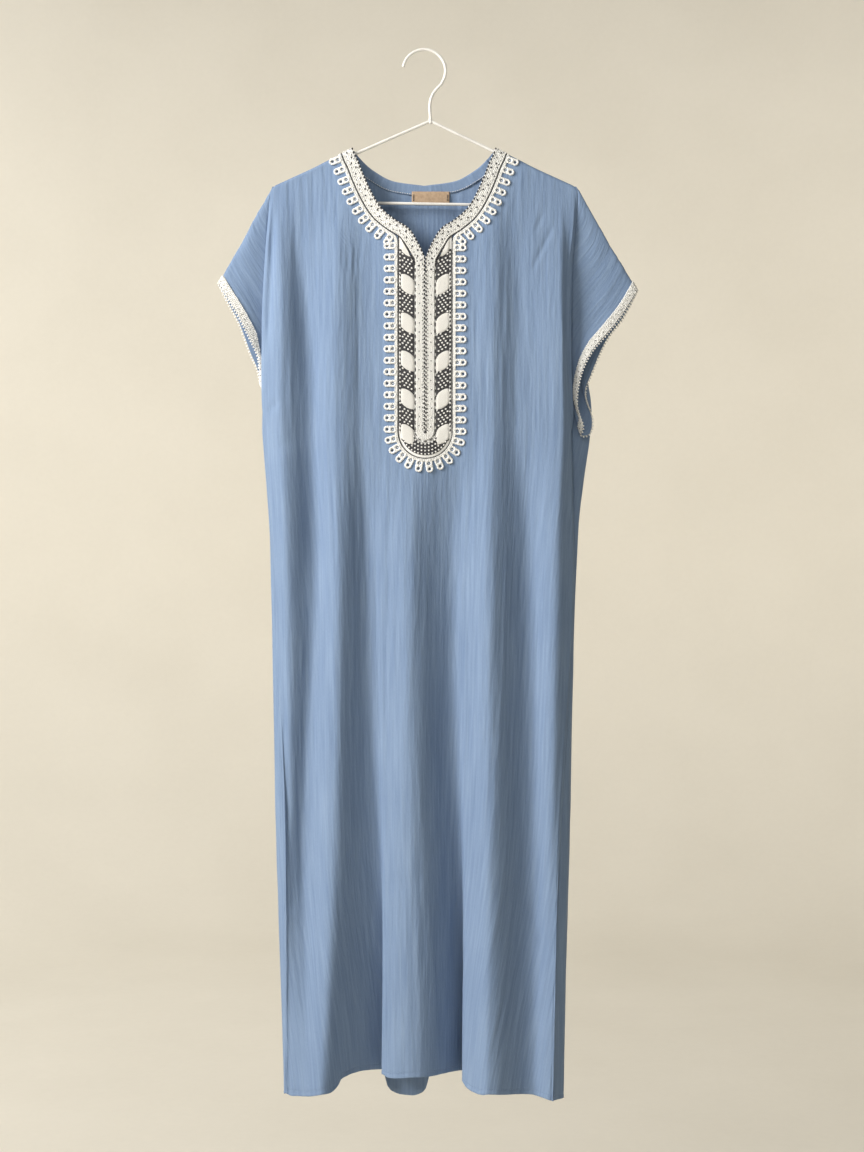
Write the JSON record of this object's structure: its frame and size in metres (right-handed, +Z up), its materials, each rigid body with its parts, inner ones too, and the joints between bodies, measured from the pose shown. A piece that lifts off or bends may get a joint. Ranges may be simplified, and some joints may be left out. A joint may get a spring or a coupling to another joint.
{
  "type": "short-sleeved djellaba on a wire hanger",
  "caption": "Ankle-length short-sleeved djellaba of crinkled cloth with a braided slit neck and an embroidered placket, hanging flat on a coated wire hanger.",
  "frame": {"origin": "inner top of the hook, where a nail or rail carries the hanger", "axes": "+Z up, the garment's front faces -Y, the wearer's left is at +X"},
  "size_m": [0.5874, 0.1143, 1.4703],
  "materials": {
    "blue_cotton": "crinkled crepe cotton, matt, with fine vertical slubs",
    "white_braid": "knotted white cord, matt",
    "charcoal_lattice": "white and charcoal stitching, matt",
    "tan_label": "woven tape, matt",
    "white_wire": "smooth white coating"
  },
  "bodies": {
    "root": {"front": "blue_cotton", "back": "blue_cotton", "sleeve_right": "blue_cotton", "sleeve_left": "blue_cotton", "neck_facing": "blue_cotton", "neck_braid": "white_braid", "looped_edging": "white_braid", "cuff_braid_right": "white_braid", "cuff_braid_left": "white_braid", "placket_field": "charcoal_lattice", "neck_label": "tan_label", "hanger_hook": "white_wire", "hanger_frame": "white_wire"}
  },
  "joints": []
}
